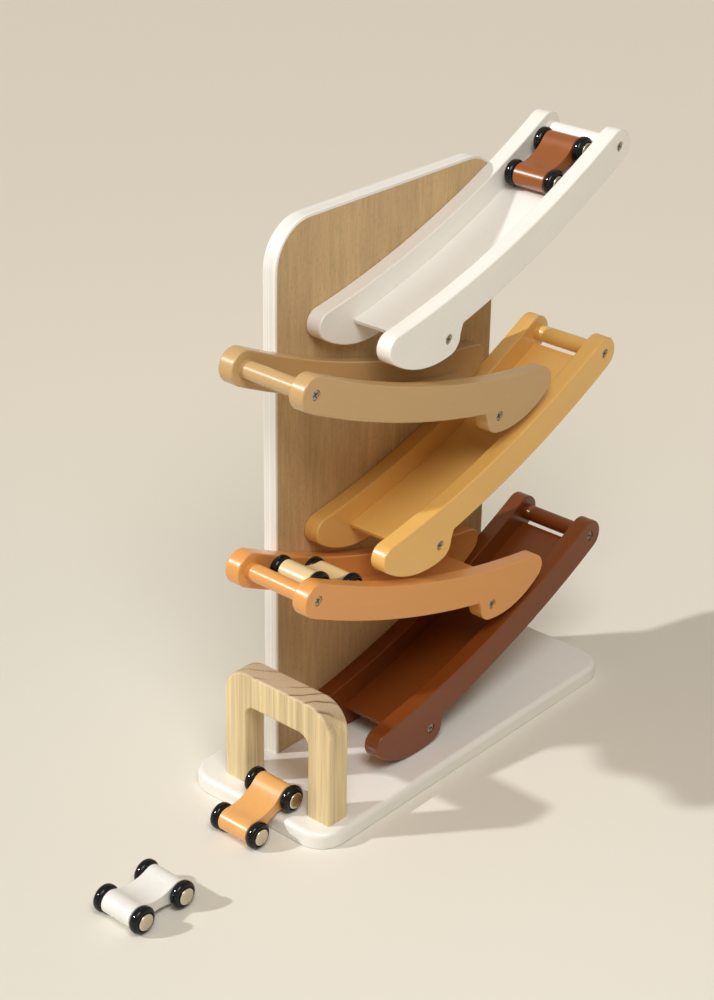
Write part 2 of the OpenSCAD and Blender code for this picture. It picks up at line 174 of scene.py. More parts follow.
class TrackColours(bpy.types.PropertyGroup):
    """Colours of the paints, woods, metals and surroundings"""

    white: colour("White", "Paint of the base board and of the first ramp", "#F4F1EA")
    taupe: colour("Taupe", "Paint of the second ramp", "#C8A36F")
    mustard: colour("Mustard", "Paint of the third ramp", "#EEBB67")
    orange: colour("Orange", "Paint of the fourth ramp", "#E59E52")
    brown: colour("Brown", "Paint of the fifth ramp", "#7C3F15")
    brown_car: colour("Brown car", "Lacquer of the brown car", "#94511E")
    beige_car: colour("Beige car", "Lacquer of the beige car", "#E4CB98")
    orange_car: colour("Orange car", "Lacquer of the orange car", "#E8AC65")
    white_car: colour("White car", "Lacquer of the white car", "#F1EFEA")
    veneer: colour("Veneer", "Wood of the panel's front face", "#CCAD80")
    pine: colour("Pine", "Wood of the arch", "#E7D0A0")
    pine_end: colour("Pine end grain", "End grain on the arch's top", "#C2AC8D")
    pine_rings: colour("Pine rings", "Late wood in the arch's growth rings", "#6E4C34")
    nickel: colour("Nickel", "Plating of the screws and axles", "#B0ABA0")
    champagne: colour("Champagne nickel", "Plating of the hub caps", "#DDD4BF")
    wheel: colour("Wheels", "Black of the wheels", "#0B0D12")
    floor: colour("Floor", "Paper that the toy stands on", "#E8E4D8")
    # Painted light: the far tone is lighter, painted in for the light that falls off towards the back
    floor_far: colour("Far floor", "The paper's tone towards the back", "#F3ECDE")
    wall: colour("Wall", "What shows over the paper's far edge and in reflections", "#C4BAA7")
    fill: colour("Fill light", "Tone of the even light", "#FFEBCD")


class TrackStage(bpy.types.PropertyGroup):
    """Camera and light"""

    camera_place: FloatVectorProperty(
        name="Camera place", description="Where the camera stands", subtype="TRANSLATION", unit="LENGTH",
        size=3, default=(-1.00356, -0.82356, 0.84026)
    )
    camera_turn: angle("Camera turn", "Turn of the camera round the vertical", -48.99)
    camera_dip: angle("Camera dip", "How far the camera looks down", 26.93)
    camera_roll: angle("Camera roll", "Roll of the camera about its own axis", 0.9)
    camera_lens: FloatProperty(
        name="Camera lens", description="Focal length on a 36 mm sensor", unit="CAMERA", default=76.609
    )
    key_turn: angle("Key light turn", "Direction that the key light comes from, round the vertical", 140)
    key_rise: angle("Key light rise", "Height of the key light over the horizon", 33)
    key_width: angle("Key light width", "Size of the key light as it is seen from the toy", 2.6)
    key_power: FloatProperty(name="Key light power", description="Strength of the key light", default=1.9)
    soft_turn: angle("Soft light turn", "Direction that the soft light comes from, round the vertical", 229)
    soft_rise: angle("Soft light rise", "Height of the soft light over the horizon", 52)
    soft_width: angle("Soft light width", "Size of the soft far light as it is seen from the toy", 30)
    soft_far_power: FloatProperty(
        name="Soft far power", description="Strength of the soft far light", default=0.7
    )
    soft_away: length("Soft box distance", "Distance of the soft box from the toy's middle", 1100)
    soft_size: length("Soft box size", "Diameter of the soft box", 500)
    soft_power: FloatProperty(
        name="Soft box power", description="Power of the soft box", unit="POWER", default=4.4
    )
    fill_power: FloatProperty(
        name="Fill light power", description="Strength of the even light", default=0.23
    )


# Materials


def add(tree, kind, inputs=None, **settings):
    """Adds a node with its settings, and sets its inputs or links them to other nodes' outputs."""
    node = tree.nodes.new(kind)
    for key, value in settings.items():
        setattr(node, key, value)
    for key, value in (inputs or {}).items():
        if isinstance(value, bpy.types.NodeSocket):
            tree.links.new(value, node.inputs[key])
        else:
            node.inputs[key].default_value = value
    return node


def new_material(name):
    """An empty node material, its tree, its Object coordinates and its shader."""
    material = bpy.data.materials.new(name)
    material.use_nodes = True
    tree = material.node_tree
    tree.nodes.clear()
    place = add(tree, "ShaderNodeTexCoord").outputs["Object"]
    shader = add(tree, "ShaderNodeBsdfPrincipled")
    add(tree, "ShaderNodeOutputMaterial", {"Surface": shader.outputs["BSDF"]})
    return material, tree, place, shader


def opaque(rgb):
    """A colour with an alpha of one."""
    return (*rgb, 1)


def shade_of(rgb, share):
    """A lighter or darker shade of a colour."""
    return opaque([min(1, c * share) for c in rgb])


def grain_noise(tree, place, size, turn=0, detail=3):
    """Noise drawn out along the grain. Size is that of one streak along X, Y and Z, in millimetres."""
    spot = add(
        tree, "ShaderNodeMapping",
        {"Vector": place, "Rotation": (0, -turn, 0), "Scale": [s * MM for s in size]}, vector_type="TEXTURE"
    )
    return add(
        tree, "ShaderNodeTexNoise", {"Vector": spot.outputs["Vector"], "Scale": 1, "Detail": detail}
    ).outputs["Fac"]


def painted_wood(name, rgb, turn=0):
    """Silk-gloss paint on sanded beech: even colour, the grain telegraphs faintly as a relief."""
    material, tree, place, shader = new_material(name)
    streaks = grain_noise(tree, place, (60, 1.6, 1.6), turn)
    clouds = grain_noise(tree, place, (45, 30, 30), turn, detail=2)
    # Sprayed paint's fine skin, drawn at 0.9 mm where the real one is finer, so that it shows
    skin = grain_noise(tree, place, (0.9, 0.9, 0.9), detail=2)
    tone = add(
        tree, "ShaderNodeMix",
        {"Factor": clouds, "A": shade_of(rgb, 0.97), "B": shade_of(rgb, 1.02)}, data_type="RGBA"
    )
    drawn = add(tree, "ShaderNodeMapRange", {"Value": streaks, "To Min": 0.95, "To Max": 1})
    tint = add(
        tree, "ShaderNodeMix",
        {"Factor": 1, "A": tone.outputs["Result"], "B": drawn.outputs["Result"]},
        data_type="RGBA", blend_type="MULTIPLY"
    )
    gloss = add(tree, "ShaderNodeMapRange", {"Value": clouds, "To Min": 0.25, "To Max": 0.28})
    relief = add(tree, "ShaderNodeMath", {0: streaks, 1: skin}, operation="ADD")
    bump = add(
        tree, "ShaderNodeBump",
        {"Height": relief.outputs["Value"], "Strength": 0.16, "Distance": 0.12 * MM}
    )
    tree.links.new(tint.outputs["Result"], shader.inputs["Base Color"])
    tree.links.new(gloss.outputs["Result"], shader.inputs["Roughness"])
    tree.links.new(bump.outputs["Normal"], shader.inputs["Normal"])
    # A little under the 1.5 of most paints, matched to the object
    shader.inputs["IOR"].default_value = 1.44
    # The broad sheen goes with the paint's lightness: the dark brown shows hardly any
    shader.inputs["Coat Weight"].default_value = PAINT_SHEEN * max(rgb)
    shader.inputs["Coat Roughness"].default_value = 0.42
    return material


def lacquered_wood(name, rgb, turn=0):
    """Gloss lacquer over painted beech: a clear coat that shows a bright line of light on each bend."""
    material, tree, place, shader = new_material(name)
    streaks = grain_noise(tree, place, (40, 1.1, 1.1), turn)
    clouds = grain_noise(tree, place, (16, 12, 12), turn, detail=2)
    mixed = add(tree, "ShaderNodeMath", {0: streaks, 1: clouds}, operation="MULTIPLY")
    tone = add(
        tree, "ShaderNodeMix",
        {"Factor": mixed.outputs["Value"], "A": shade_of(rgb, 0.9), "B": shade_of(rgb, 1.16)},
        data_type="RGBA"
    )
    bump = add(
        tree, "ShaderNodeBump", {"Height": streaks, "Strength": 0.08, "Distance": 0.08 * MM}
    )
    gloss = add(tree, "ShaderNodeMapRange", {"Value": clouds, "To Min": 0.3, "To Max": 0.36})
    tree.links.new(tone.outputs["Result"], shader.inputs["Base Color"])
    tree.links.new(gloss.outputs["Result"], shader.inputs["Roughness"])
    tree.links.new(bump.outputs["Normal"], shader.inputs["Normal"])
    shader.inputs["Coat Weight"].default_value = 0.3
    shader.inputs["Coat Roughness"].default_value = 0.26
    return material


def painted_ply_edge(name, rgb):
    """White paint on a plywood board: the plies show through on the edges as faint lines."""
    material, tree, place, shader = new_material(name)
    # Plies of a 12 mm board are about 1.3 mm thick, and run up the edge
    plies = grain_noise(tree, place, (400, 1.3, 400), detail=1)
    clouds = grain_noise(tree, place, (40, 40, 40), detail=2)
    lines = add(
        tree, "ShaderNodeMapRange",
        {"Value": plies, "From Min": 0.35, "From Max": 0.6, "To Min": 0.84, "To Max": 1.0}
    )
    paint = add(
        tree, "ShaderNodeMix",
        {"Factor": clouds, "A": shade_of(rgb, 0.98), "B": shade_of(rgb, 1.02)}, data_type="RGBA"
    )
    tone = add(
        tree, "ShaderNodeMix",
        {"Factor": 1, "A": paint.outputs["Result"], "B": lines.outputs["Result"]},
        data_type="RGBA", blend_type="MULTIPLY"
    )
    bump = add(tree, "ShaderNodeBump", {"Height": plies, "Strength": 0.4, "Distance": 0.25 * MM})
    tree.links.new(tone.outputs["Result"], shader.inputs["Base Color"])
    tree.links.new(bump.outputs["Normal"], shader.inputs["Normal"])
    shader.inputs["Roughness"].default_value = 0.4
    return material


def lacquered_veneer(name, rgb):
    """Beech veneer under matt lacquer: fine upright fibres, soft bands and short dashes, with no shine."""
    material, tree, place, shader = new_material(name)
    # Fibres and dashes are drawn at twice their real width, so that they show
    fibres = grain_noise(tree, place, (0.6, 0.6, 12), detail=3)
    strands = grain_noise(tree, place, (3, 3, 40), detail=4)
    bands = grain_noise(tree, place, (17, 17, 190), detail=2)
    pores = grain_noise(tree, place, (0.5, 0.5, 4), detail=1)
    clouds = grain_noise(tree, place, (22, 22, 60), detail=3)
    dashes = add(
        tree, "ShaderNodeMapRange", {"Value": pores, "From Min": 0.58, "From Max": 0.78, "To Max": 0.75}
    )
    tone = add(tree, "ShaderNodeMath", {0: bands, 1: clouds}, operation="ADD")
    shade = add(
        tree, "ShaderNodeMapRange", {"Value": tone.outputs["Value"], "From Min": 0.6, "From Max": 1.4}
    )
    wood = add(
        tree, "ShaderNodeMix",
        {"Factor": shade.outputs["Result"], "A": shade_of(rgb, 0.84), "B": shade_of(rgb, 1.14)},
        data_type="RGBA"
    )
    drawn = add(tree, "ShaderNodeMath", {0: fibres, 1: strands}, operation="ADD")
    streaks = add(
        tree, "ShaderNodeMapRange",
        {"Value": drawn.outputs["Value"], "From Min": 0.6, "From Max": 1.4, "To Min": 0.82, "To Max": 1.14}
    )
    grown = add(
        tree, "ShaderNodeMix",
        {"Factor": 1, "A": wood.outputs["Result"], "B": streaks.outputs["Result"]},
        data_type="RGBA", blend_type="MULTIPLY"
    )
    dotted = add(
        tree, "ShaderNodeMix",
        {"Factor": dashes.outputs["Result"], "A": grown.outputs["Result"], "B": shade_of(rgb, 0.5)},
        data_type="RGBA"
    )
    bump = add(
        tree, "ShaderNodeBump", {"Height": fibres, "Strength": 0.12, "Distance": 0.1 * MM}
    )
    tree.links.new(dotted.outputs["Result"], shader.inputs["Base Color"])
    tree.links.new(bump.outputs["Normal"], shader.inputs["Normal"])
    shader.inputs["Roughness"].default_value = 0.6
    # Under the 1.5 of most lacquers, matched to the object
    shader.inputs["IOR"].default_value = 1.4
    return material


def sanded_pine(name, rgb, end_rgb, rings_rgb, pith):
    """Bare sanded pine: soft streaks up the faces, and thin dark arcs of the same rings on the end grain."""
    material, tree, place, shader = new_material(name)
    slow = add(
        tree, "ShaderNodeMapping",
        {"Vector": place, "Scale": (30 * MM, 30 * MM, 420 * MM)}, vector_type="TEXTURE"
    )
    wander = add(
        tree, "ShaderNodeTexNoise", {"Vector": slow.outputs["Vector"], "Scale": 1, "Detail": 3}
    )
    swayed = add(
        tree, "ShaderNodeVectorMath",
        {0: wander.outputs["Color"], 1: (RING_SWAY * MM, RING_SWAY * MM, 0), 2: place},
        operation="MULTIPLY_ADD"
    )
    # The texture has one ring a unit round its Z axis
    spot = add(
        tree, "ShaderNodeMapping",
        {"Vector": swayed.outputs["Vector"], "Location": pith, "Scale": [RING_GAP * MM] * 3},
        vector_type="TEXTURE"
    )
    rings = add(
        tree, "ShaderNodeTexWave",
        {
            "Vector": spot.outputs["Vector"], "Scale": RING_SCALE,
            "Distortion": 0.8, "Detail": 2, "Detail Scale": 0.6,
        },
        wave_type="RINGS", rings_direction="Z", wave_profile="SAW"
    ).outputs["Fac"]
    # Some rings are strong and others hardly show
    years = grain_noise(tree, place, (30, 30, 160), detail=2)
    vigour = add(
        tree, "ShaderNodeMapRange",
        {"Value": years, "From Min": 0.38, "From Max": 0.62, "To Min": 0.1, "To Max": 1}
    )
    line = add(tree, "ShaderNodeMapRange", {"Value": rings, "From Min": 0.74, "From Max": 0.97})
    # On the faces the rings swell and fade softly on both sides
    swell = add(
        tree, "ShaderNodeMapRange", {"Value": rings, "From Min": 0.1, "From Max": 0.72, "To Max": 0.32},
        interpolation_type="SMOOTHSTEP"
    )
    fade = add(
        tree, "ShaderNodeMapRange", {"Value": rings, "From Min": 1, "From Max": 0.7},
        interpolation_type="SMOOTHSTEP"
    )
    streak = add(
        tree, "ShaderNodeMath",
        {0: swell.outputs["Result"], 1: fade.outputs["Result"]}, operation="MULTIPLY"
    )
    line_share = add(
        tree, "ShaderNodeMath",
        {0: line.outputs["Result"], 1: vigour.outputs["Result"]}, operation="MULTIPLY"
    )
    streak_share = add(
        tree, "ShaderNodeMath",
        {0: streak.outputs["Value"], 1: vigour.outputs["Result"]}, operation="MULTIPLY"
    )
    fibres = grain_noise(tree, place, (0.8, 0.8, 60), detail=4)
    strands = grain_noise(tree, place, (2.8, 2.8, 130), detail=4)
    drawn = add(tree, "ShaderNodeMath", {0: fibres, 1: strands}, operation="ADD")
    grain = add(
        tree, "ShaderNodeMapRange", {"Value": drawn.outputs["Value"], "From Min": 0.7, "From Max": 1.3}
    )
    # Cut fibre ends are drawn at 0.9 mm where the real ones are finer, so that they show
    ends = grain_noise(tree, place, (0.9, 0.9, 0.9), detail=3)
    face = add(
        tree, "ShaderNodeMix",
        {"Factor": grain.outputs["Result"], "A": shade_of(rgb, 0.74), "B": shade_of(rgb, 1.16)},
        data_type="RGBA"
    )
    streaked = add(
        tree, "ShaderNodeMix",
        {"Factor": streak_share.outputs["Value"], "A": face.outputs["Result"], "B": opaque(rings_rgb)},
        data_type="RGBA"
    )
    end = add(
        tree, "ShaderNodeMix",
        {"Factor": ends, "A": shade_of(end_rgb, 0.6), "B": shade_of(end_rgb, 1.34)}, data_type="RGBA"
    )
    lined = add(
        tree, "ShaderNodeMix",
        {"Factor": line_share.outputs["Value"], "A": end.outputs["Result"], "B": opaque(rings_rgb)},
        data_type="RGBA"
    )
    normal = add(tree, "ShaderNodeTexCoord").outputs["Normal"]
    upright = add(tree, "ShaderNodeSeparateXYZ", {"Vector": normal})
    cut = add(
        tree, "ShaderNodeMapRange", {"Value": upright.outputs["Z"], "From Min": 0.3, "From Max": 0.9}
    )
    wood = add(
        tree, "ShaderNodeMix",
        {"Factor": cut.outputs["Result"], "A": streaked.outputs["Result"], "B": lined.outputs["Result"]},
        data_type="RGBA"
    )
    bump = add(
        tree, "ShaderNodeBump", {"Height": fibres, "Strength": 0.2, "Distance": 0.12 * MM}
    )
    tree.links.new(wood.outputs["Result"], shader.inputs["Base Color"])
    tree.links.new(bump.outputs["Normal"], shader.inputs["Normal"])
    shader.inputs["Roughness"].default_value = 0.55
    return material


def plated_metal(name, rgb, roughness, mark):
    """Nickel plate: bright metal, its gloss broken by marks. Mark is the size of one, in millimetres."""
    material, tree, place, shader = new_material(name)
    marks = grain_noise(tree, place, (mark, mark, mark), detail=3)
    tone = add(
        tree, "ShaderNodeMix",
        {"Factor": marks, "A": shade_of(rgb, 0.82), "B": shade_of(rgb, 1.12)}, data_type="RGBA"
    )
    gloss = add(
        tree, "ShaderNodeMapRange", {"Value": marks, "To Min": roughness * 0.7, "To Max": roughness * 1.3}
    )
    tree.links.new(tone.outputs["Result"], shader.inputs["Base Color"])
    tree.links.new(gloss.outputs["Result"], shader.inputs["Roughness"])
    shader.inputs["Metallic"].default_value = 1
    return material


def moulded_plastic(name, rgb):
    """Polished black ABS: deep and glossy, with a breath of handling marks."""
    material, tree, place, shader = new_material(name)
    marks = grain_noise(tree, place, (3, 3, 3), detail=3)
    tone = add(
        tree, "ShaderNodeMix",
        {"Factor": marks, "A": shade_of(rgb, 0.8), "B": shade_of(rgb, 1.5)}, data_type="RGBA"
    )
    gloss = add(tree, "ShaderNodeMapRange", {"Value": marks, "To Min": 0.06, "To Max": 0.11})
    tree.links.new(tone.outputs["Result"], shader.inputs["Base Color"])
    tree.links.new(gloss.outputs["Result"], shader.inputs["Roughness"])
    # Under the 1.53 of plain ABS, matched to the wheels' deep black
    shader.inputs["IOR"].default_value = 1.38
    return material


# Shaping


def start_copy(node, name):
    """A merged copy of a CAD node, open in edit mode with nothing selected."""
    bpy.ops.object.select_all(action="DESELECT")
    piece = bpy.data.objects.new(name, frame["nodes"][node].data.copy())
    bpy.context.scene.collection.objects.link(piece)
    piece.data.materials.clear()
    piece.select_set(True)
    bpy.context.view_layer.objects.active = piece
    bpy.ops.object.mode_set(mode="EDIT")
    bpy.ops.mesh.select_mode(type="EDGE")
    bpy.ops.mesh.select_all(action="SELECT")
    bpy.ops.mesh.customdata_custom_splitnormals_clear()
    bpy.ops.mesh.remove_doubles(threshold=TOUCH)
    bpy.ops.mesh.dissolve_limited(angle_limit=FLAT_ANGLE)
    bpy.ops.mesh.select_all(action="DESELECT")
    return piece


def longest_rim(shape, axis, side):
    """The longest loop of edges round a plate's flat face on one side, so no bore or groove."""
    level = max(v.co[axis] * side for v in shape.verts)
    left = {
        e for e in shape.edges
        if all(v.co[axis] * side > level - TOUCH for v in e.verts)
        and sum(f.normal[axis] * side > FLAT_SHARE for f in e.link_faces) == 1
    }
    loops = []
    while left:
        loop = []
        todo = [left.pop()]
        while todo:
            edge = todo.pop()
            loop.append(edge)
            near = {e for v in edge.verts for e in v.link_edges} & left
            left -= near
            todo.extend(near)
        loops.append(loop)
    return max(loops, key=lambda loop: sum(e.calc_length() for e in loop))


def select_edges(choose):
    """Selects only the edges that choose picks from the mesh in edit mode."""
    bpy.ops.mesh.select_all(action="DESELECT")
    shape = bmesh.from_edit_mesh(bpy.context.edit_object.data)
    for edge in choose(shape):
        edge.select_set(True)
    bmesh.update_edit_mesh(bpy.context.edit_object.data)


def round_selected(radius, steps=ROUND_STEPS):
    """Rounds the selected edges."""
    bpy.ops.mesh.bevel(offset=radius, segments=steps, profile=0.5, affect="EDGES", clamp_overlap=True)


def round_rims(axis, low_radius, high_radius, foot=None):
    """Rounds the outlines of a plate's two flat faces across an axis, but no edge on the foot."""
    for side, radius in ((-1, low_radius), (1, high_radius)):
        select_edges(lambda shape: [
            e for e in longest_rim(shape, axis, side)
            if foot is None or max(v.co.z for v in e.verts) > foot + TOUCH
        ])
        round_selected(radius)


def outer_face(shape):
    """The face of a wheel or hub cap whose middle lies furthest from the car."""
    return max(shape.faces, key=lambda f: f.calc_center_median().y)


def sink_outer_face(steps):
    """Insets the face that lies furthest out and moves it inwards, once for each step.

    After the first step that is a single facet of the edge round the sunk face.
    """
    bpy.ops.mesh.select_mode(type="FACE")
    for inset, depth in steps:
        bpy.ops.mesh.select_all(action="DESELECT")
        shape = bmesh.from_edit_mesh(bpy.context.edit_object.data)
        outer_face(shape).select_set(True)
        bmesh.update_edit_mesh(bpy.context.edit_object.data)
        bpy.ops.mesh.inset(thickness=inset * MM, depth=-depth * MM)
    bpy.ops.mesh.select_mode(type="EDGE")


def close_piece(piece):
    """Leaves edit mode and shades round surfaces smooth and flat ones flat."""
    bpy.ops.object.mode_set(mode="OBJECT")
    bpy.ops.object.shade_smooth_by_angle(angle=SMOOTH_ANGLE)
    bpy.ops.object.modifier_add(type="WEIGHTED_NORMAL")
    piece.modifiers[-1].keep_sharp = True
    bpy.ops.object.modifier_apply(modifier=piece.modifiers[-1].name)


def stand_for(piece, node, slot, *materials):
    """Gives a piece its materials and puts it in the place of a CAD node, on that node's body."""
    for material in materials:
        piece.data.materials.append(material)
    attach(piece, frame["nodes"][node]["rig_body"])
    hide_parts(node)


def middle(node):
    """The middle of a CAD node's box."""
    low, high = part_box(node)
    return (low + high) / 2


def rise_between(low_node, high_node):
    """The angle over the horizon, seen along Y, of the line from one CAD node to another."""
    line = middle(high_node) - middle(low_node)
    return atan2(line.z, line.x)


# Operators, one for each piece or group of like pieces


class TRACK_OT_base_board(bpy.types.Operator):
    """Rounds and paints the base board"""

    bl_idname = "track.base_board"
    bl_label = "Base board"

    def execute(self, context):
        edges = context.scene.track_edges
        piece = start_copy("base_board", "painted_base_board")
        round_rims(Z, edges.base_foot, edges.base_top)
        close_piece(piece)
        stand_for(
            piece, "base_board", "white_paint",
            painted_wood("white_painted_board", context.scene.track_colours.white)
        )
        return {"FINISHED"}


class TRACK_OT_back_panel(bpy.types.Operator):
    """Rounds the upright panel, veneers its front and paints its edges and back"""

    bl_idname = "track.back_panel"
    bl_label = "Back panel"

    def execute(self, context):
        radius = context.scene.track_edges.panel
        colours = context.scene.track_colours
        piece = start_copy("back_panel", "veneered_back_panel")
        round_rims(Y, radius, radius, foot=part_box("back_panel")[0].z)
        close_piece(piece)
        stand_for(
            piece, "back_panel", "panel_veneer",
            lacquered_veneer("lacquered_beech_veneer", colours.veneer),
            painted_ply_edge("white_painted_plywood", colours.white)
        )
        for face in piece.data.polygons:
            face.material_index = int(face.normal.y > -FLAT_SHARE)
        return {"FINISHED"}


class TRACK_OT_finish_arch(bpy.types.Operator):
    """Rounds and sands the arch that the cars leave through"""

    bl_idname = "track.finish_arch"
    bl_label = "Finish arch"

    def execute(self, context):
        radius = context.scene.track_edges.arch
        colours = context.scene.track_colours
        piece = start_copy("finish_arch", "sanded_finish_arch")
        round_rims(X, radius, radius, foot=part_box("finish_arch")[0].z)
        close_piece(piece)
        pith = middle("finish_arch") + Vector(PITH_OFF) * MM
        stand_for(
            piece, "finish_arch", "pine",
            sanded_pine("sanded_pine", colours.pine, colours.pine_end, colours.pine_rings, pith)
        )
        return {"FINISHED"}


class TRACK_OT_ramps(bpy.types.Operator):
    """Rounds and paints the five ramps' rails, floors and dowels"""

    bl_idname = "track.ramps"
    bl_label = "Ramps"

    def execute(self, context):
        edges = context.scene.track_edges
        for ramp in RAMPS:
            turn = rise_between(f"{ramp}_lower_dowel", f"{ramp}_top_dowel")
            paint = painted_wood(f"{ramp}_painted_beech", getattr(context.scene.track_colours, ramp), turn)
            for part in RAILS:
                piece = start_copy(f"{ramp}_{part}", f"painted_{ramp}_{part}")
                round_rims(Y, edges.rail, edges.rail)
                close_piece(piece)
                stand_for(piece, f"{ramp}_{part}", f"{ramp}_paint", paint)
            piece = start_copy(f"{ramp}_floor", f"painted_{ramp}_floor")
            select_edges(self.floor_ends)
            round_selected(edges.floor)
            close_piece(piece)
            stand_for(piece, f"{ramp}_floor", f"{ramp}_paint", paint)
            for part in DOWELS:
                piece = start_copy(f"{ramp}_{part}", f"painted_{ramp}_{part}")
                close_piece(piece)
                stand_for(piece, f"{ramp}_{part}", f"{ramp}_paint", paint)
        return {"FINISHED"}

    @staticmethod
    def floor_ends(shape):
        """The sharp edges across a curved floor, at its two ends."""
        return [
            e for e in shape.edges
            if e.calc_face_angle(0) > SMOOTH_ANGLE
            and abs(e.verts[0].co.y - e.verts[1].co.y) > e.calc_length() * FLAT_SHARE
        ]


class TRACK_OT_screws(bpy.types.Operator):
    """Plates the screws"""

    bl_idname = "track.screws"
    bl_label = "Screws"

    def execute(self, context):
        colours = context.scene.track_colours
        plate = plated_metal("nickel_plated_steel", colours.nickel, roughness=0.3, mark=1.5)
        for node in SCREWS:
            piece = start_copy(node, f"plated_{node}")
            close_piece(piece)
            stand_for(piece, node, "nickel", plate)
        return {"FINISHED"}


class TRACK_OT_car_bodies(bpy.types.Operator):
    """Rounds and lacquers the cars' bodies and plates their axles"""

    bl_idname = "track.car_bodies"
    bl_label = "Car bodies"

    def execute(self, context):
        radius = context.scene.track_edges.car
        colours = context.scene.track_colours
        plate = plated_metal("bright_axle_steel", colours.nickel, roughness=0.25, mark=1)
        for car in CARS:
            turn = rise_between(f"{car}_front_axle", f"{car}_rear_axle")
            piece = start_copy(f"{car}_body", f"lacquered_{car}_body")
            round_rims(Y, radius, radius)
            close_piece(piece)
            stand_for(
                piece, f"{car}_body", f"{car}_paint",
                lacquered_wood(f"{car}_lacquered_beech", getattr(colours, car), turn)
            )
            for end in ENDS:
                node = f"{car}_{end}_axle"
                piece = start_copy(node, f"plated_{node}")
                close_piece(piece)
                stand_for(piece, node, "nickel", plate)
        return {"FINISHED"}


class TRACK_OT_wheels(bpy.types.Operator):
    """Models a pair of wheels and of hub caps, and copies them to every axle"""

    bl_idname = "track.wheels"
    bl_label = "Wheels and hub caps"

    def execute(self, context):
        edges = context.scene.track_edges
        colours = context.scene.track_colours
        black = moulded_plastic("polished_black_plastic", colours.wheel)
        champagne = plated_metal("champagne_nickel", colours.champagne, roughness=0.22, mark=0.8)
        for part, shape, material, slot in (
            ("wheels", self.wheel, black, "wheel_black"),
            ("caps", self.cap, champagne, "cap_nickel"),
        ):
            pattern = self.pair(f"{CARS[0]}_{ENDS[0]}_{part}", shape, edges)
            for car in CARS:
                for end in ENDS:
                    node = f"{car}_{end}_{part}"
                    piece = bpy.data.objects.new(f"modelled_{node}", pattern.data.copy())
                    context.scene.collection.objects.link(piece)
                    piece.data.transform(Matrix.Translation(middle(node)))
                    stand_for(piece, node, slot, material)
            bpy.data.objects.remove(pattern)
        return {"FINISHED"}

    def pair(self, node, shape, edges):
        """A left and a right copy of a turned shape, as far apart as the CAD node's two solids."""
        low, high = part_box(node)
        radius = (high.x - low.x) / 2
        outer = (high.y - low.y) / 2
        centre = (low.y + high.y) / 2
        inner = min(v.co.y - centre for v in frame["nodes"][node].data.vertices if v.co.y > centre)
        bpy.ops.object.select_all(action="DESELECT")
        bpy.ops.mesh.primitive_cylinder_add(
            vertices=TURNED_SIDES, radius=radius, depth=outer - inner, location=(0, (outer + inner) / 2, 0),
            rotation=(-pi / 2, 0, 0)
        )
        pattern = bpy.context.object
        bpy.ops.object.transform_apply(location=True, rotation=True, scale=True)
        bpy.ops.object.mode_set(mode="EDIT")
        bpy.ops.mesh.select_mode(type="EDGE")
        shape(edges)
        bpy.ops.mesh.select_all(action="SELECT")
        bpy.ops.mesh.duplicate()
        bpy.ops.transform.rotate(value=pi, orient_axis="Z", center_override=(0, 0, 0))
        close_piece(pattern)
        return pattern

    @staticmethod
    def wheel(edges):
        """Rounds a disc to a tyre and sinks its hub."""
        select_edges(lambda shape: [
            e for e in shape.edges if abs(e.verts[0].co.y - e.verts[1].co.y) < TOUCH
        ])
        round_selected(edges.tyre, TYRE_STEPS)
        sink_outer_face(HUB_STEPS)

    @staticmethod
    def cap(edges):
        """Rounds a disc's outer rim and sinks its face a little."""
        select_edges(lambda shape: outer_face(shape).edges)
        round_selected(edges.cap)
        sink_outer_face(CAP_STEPS)


